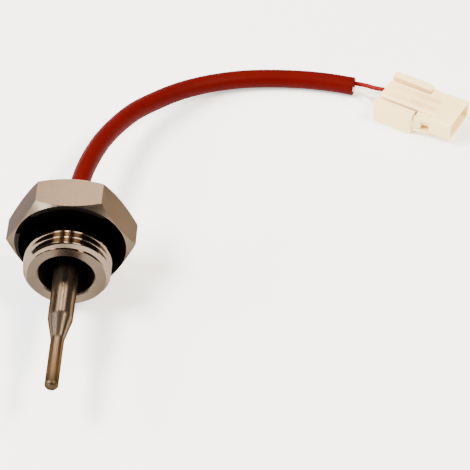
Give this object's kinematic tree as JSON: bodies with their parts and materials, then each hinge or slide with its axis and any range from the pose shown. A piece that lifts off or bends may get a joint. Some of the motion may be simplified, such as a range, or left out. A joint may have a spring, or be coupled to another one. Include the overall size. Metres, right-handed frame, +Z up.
{
  "type": "screw-in boiler probe with connector",
  "caption": "Screw-in boiler probe: hexagon plug with pipe thread, sealing washer, stepped closed sheath, red sleeved lead and nylon connector with latch levers.",
  "frame": {"origin": "centre of the hexagon's sealing face, on the thread axis", "axes": "-Y along the thread axis towards the probe's tip, +Z up from the surface the part lies on, +X to the side where the connector lies"},
  "size_m": [0.112, 0.1207, 0.027],
  "materials": {
    "plug_metal": "satin, turned and nickel plated",
    "washer_rubber": "moulded black nitrile rubber",
    "sheath_metal": "drawn stainless tube",
    "cap_metal": "heat-tinted weld",
    "braze": "silver-brazed fillet",
    "filler": "white heat paste",
    "bead_glass": "glass-coated thermistor bead",
    "tinned": "tinned metal",
    "lead_tube": "extruded insulating tube",
    "shrink": "shrunk polyolefin",
    "copper": "stranded copper",
    "potting": "cast epoxy",
    "sleeve": "extruded silicone rubber",
    "wire_red": "extruded silicone insulation",
    "wire_white": "extruded silicone insulation",
    "nylon": "moulded natural nylon"
  },
  "bodies": {
    "probe": {"plug_body": "plug_metal", "sealing_washer": "washer_rubber", "probe_sheath": "sheath_metal", "tip_cap": "cap_metal", "braze_ring": "braze", "thermal_filler": "filler", "sensing_bead": "bead_glass", "bead_lead_red": "tinned", "bead_lead_white": "tinned", "lead_tube_red": "lead_tube", "lead_tube_white": "lead_tube", "splice_red": "tinned", "splice_white": "tinned", "shrink_red": "shrink", "shrink_white": "shrink", "core_red": "copper", "core_white": "copper", "potting": "potting", "silicone_sleeve": "sleeve", "wire_red": "wire_red", "wire_white": "wire_white", "contact_red": "tinned", "contact_white": "tinned", "connector_housing": "nylon"},
    "near_lever": {"latch_near": "nylon"},
    "far_lever": {"latch_far": "nylon"}
  },
  "joints": [
    {"name": "near_lever_pivot", "type": "hinge", "parent": "probe", "child": "near_lever", "pos_m": [0.08347, 0.05809, -0.00995], "axis": [0, 0, -1], "range_deg": [0, 4], "stiffness_Nm_per_rad": 0.02, "springref_deg": -1.72},
    {"name": "far_lever_pivot", "type": "hinge", "parent": "probe", "child": "far_lever", "pos_m": [0.08793, 0.06704, -0.00995], "axis": [0, 0, 1], "range_deg": [0, 4], "stiffness_Nm_per_rad": 0.02, "springref_deg": -1.72}
  ]
}
